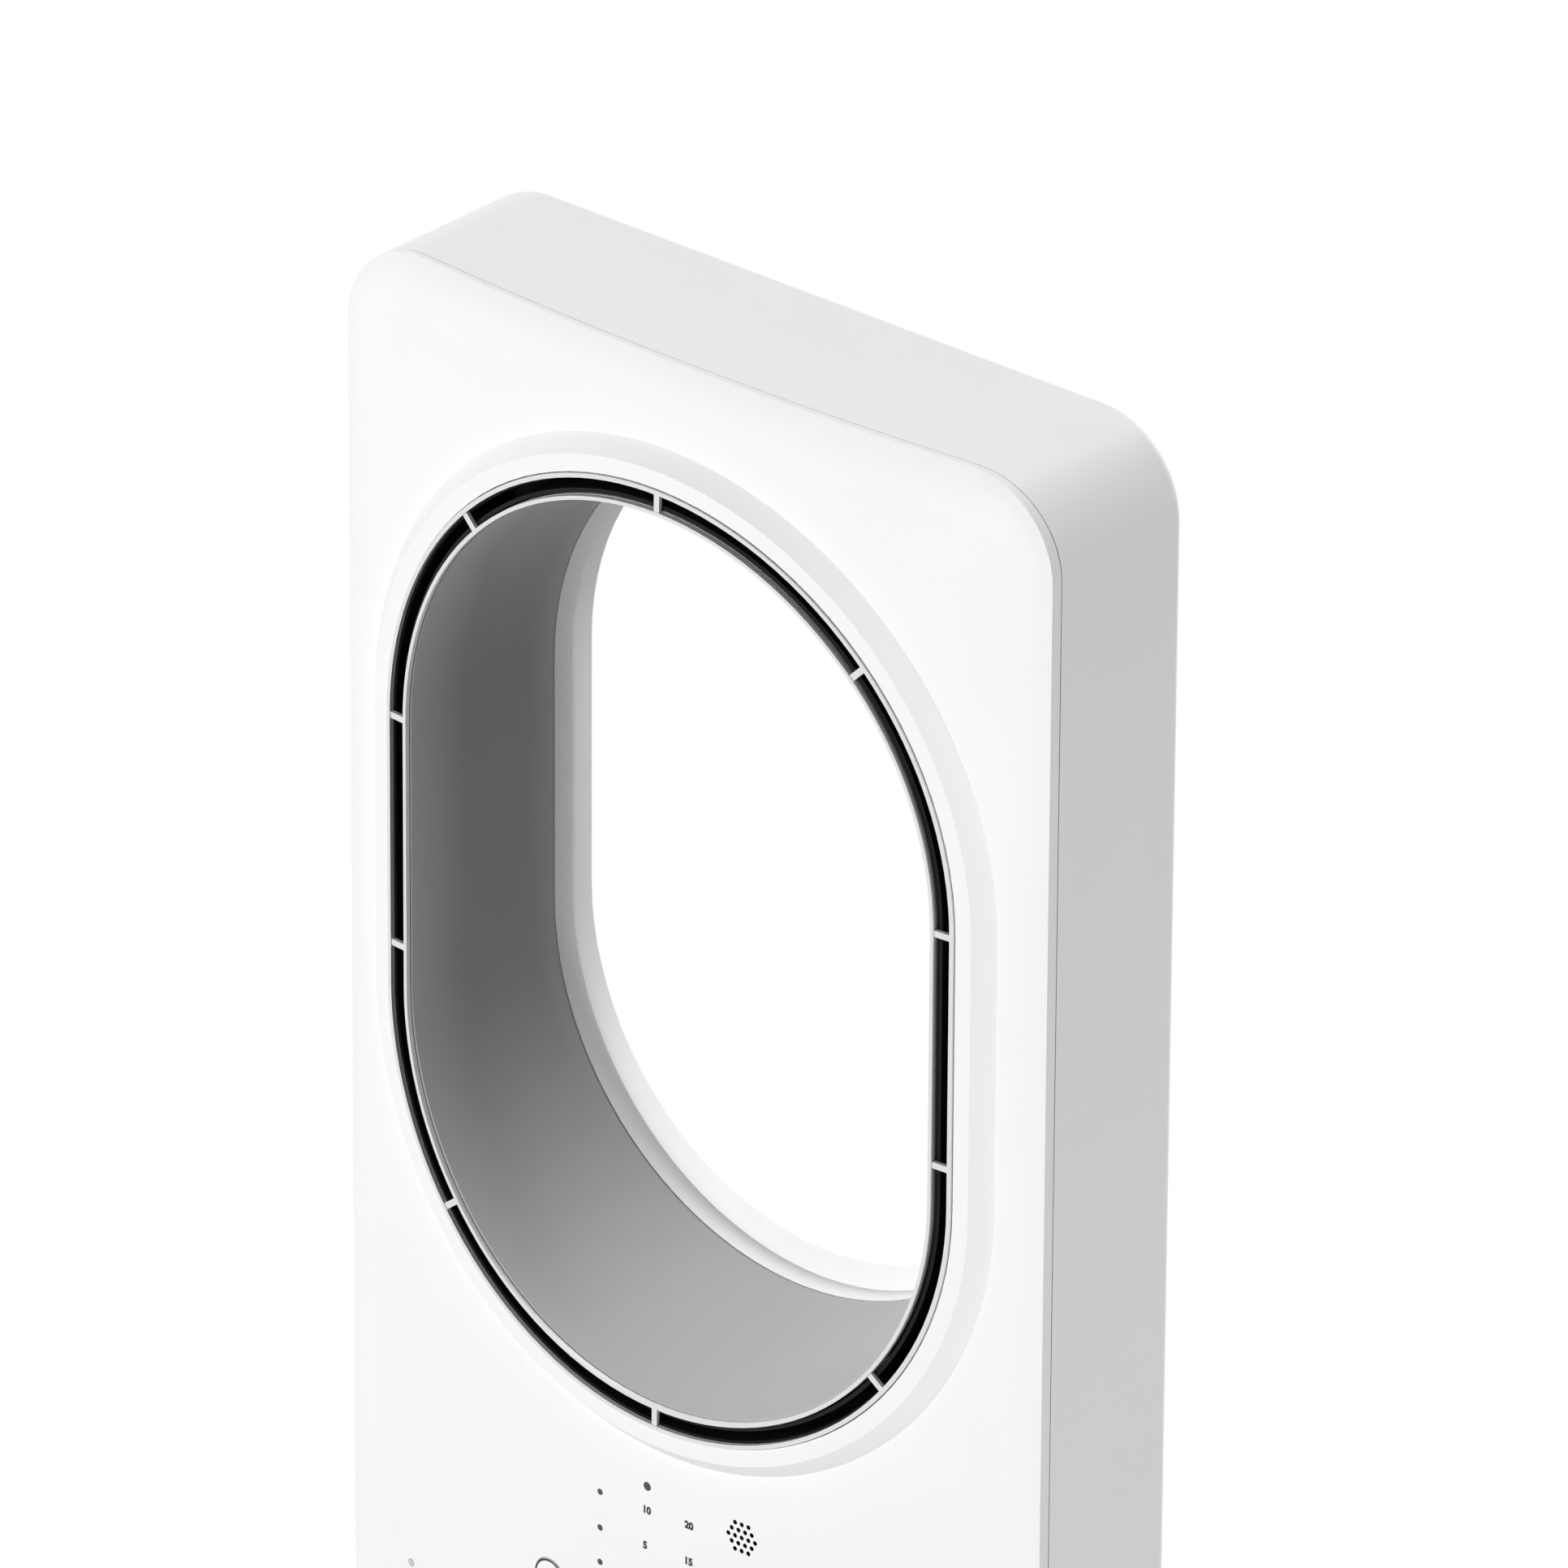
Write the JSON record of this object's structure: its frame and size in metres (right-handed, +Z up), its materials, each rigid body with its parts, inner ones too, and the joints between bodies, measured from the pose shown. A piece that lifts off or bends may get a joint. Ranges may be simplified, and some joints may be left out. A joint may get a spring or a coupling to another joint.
{
  "type": "bladeless fan",
  "caption": "Flat upright bladeless fan with an oblong air slot round a through opening, round push buttons, rear intake and a swinging round stand.",
  "frame": {"origin": "middle of the stand's footprint, at the floor", "axes": "+Z up, the front with the outlet slot and the buttons faces -Y, +X is to the right seen from the front"},
  "size_m": [0.27, 0.24, 0.64],
  "materials": {
    "shell_white": "satin moulded white",
    "stand_white": "satin moulded white",
    "key_white": "satin moulded white",
    "trim_grey": "satin light grey",
    "liner_grey": "semi-gloss silver grey",
    "nozzle_black": "matte black",
    "black_plastic": "matte black",
    "inner_plastic": "plain natural white",
    "impeller_grey": "moulded grey",
    "gear_plastic": "natural acetal",
    "clear_plastic": "smoked clear",
    "seal_black": "soft black",
    "board_green": "solder mask green",
    "steel": "zinc-plated steel",
    "core_steel": "stacked core plates",
    "magnet": "sintered magnet",
    "brass_nut": "turned brass",
    "ballast_iron": "rough cast",
    "filter_fabric": "pleated filter felt"
  },
  "bodies": {
    "stand": {"stand_cover": "stand_white", "base_plate": "black_plastic", "rubber_feet": "seal_black", "ballast_ring": "ballast_iron", "spindle_bush": "gear_plastic", "swing_motor": "steel", "power_inlet": "black_plastic"},
    "head": {"blower_case": "inner_plastic", "blower_cover": "inner_plastic", "bore_liner": "liner_grey", "buzzer": "black_plastic", "control_board": "board_green", "duct_gasket": "seal_black", "front_panel": "shell_white", "intake_filter": "filter_fabric", "intake_grille": "shell_white", "light_guides": "clear_plastic", "liner_gasket": "seal_black", "main_board": "board_green", "motor_bearings": "steel", "motor_board": "board_green", "motor_bracket": "steel", "motor_grommets": "seal_black", "motor_stator": "core_steel", "nozzle_ring": "nozzle_black", "outlet_grille": "trim_grey", "plenum_wall": "inner_plastic", "rear_housing": "shell_white", "sensor_board": "board_green", "sensor_window": "clear_plastic", "swing_gear": "gear_plastic", "tact_switches": "black_plastic", "turntable": "stand_white"},
    "pinion": {"swing_pinion": "gear_plastic"},
    "fan": {"impeller": "impeller_grey", "impeller_nut": "brass_nut", "motor_rotor": "steel", "rotor_magnet": "magnet", "motor_shaft": "steel"},
    "power_key_body": {"power_key": "key_white"},
    "speed_key_body": {"speed_key": "key_white"},
    "timer_key_body": {"timer_key": "key_white"},
    "swing_key_body": {"swing_key": "key_white"}
  },
  "joints": [
    {"name": "swing", "type": "hinge", "parent": "stand", "child": "head", "pos_m": [0, 0, 0.03], "axis": [0, 0, 1], "range_deg": [-40, 40]},
    {"name": "pinion_spin", "type": "hinge", "parent": "stand", "child": "pinion", "pos_m": [0, 0.045, 0.0095], "axis": [0, 0, 1], "range_deg": [-165, 165]},
    {"name": "fan_spin", "type": "hinge", "parent": "head", "child": "fan", "pos_m": [0, 0, 0.136], "axis": [0, 1, 0], "continuous": true},
    {"name": "power_key_press", "type": "slide", "parent": "head", "child": "power_key_body", "axis": [0, 1, 0], "range_m": [0, 0.0006], "stiffness_N_per_m": 600},
    {"name": "speed_key_press", "type": "slide", "parent": "head", "child": "speed_key_body", "axis": [0, 1, 0], "range_m": [0, 0.0006], "stiffness_N_per_m": 600},
    {"name": "timer_key_press", "type": "slide", "parent": "head", "child": "timer_key_body", "axis": [0, 1, 0], "range_m": [0, 0.0006], "stiffness_N_per_m": 600},
    {"name": "swing_key_press", "type": "slide", "parent": "head", "child": "swing_key_body", "axis": [0, 1, 0], "range_m": [0, 0.0006], "stiffness_N_per_m": 600}
  ],
  "couplings": [
    {"joint": "pinion_spin", "follows": "swing", "ratio": -4}
  ]
}
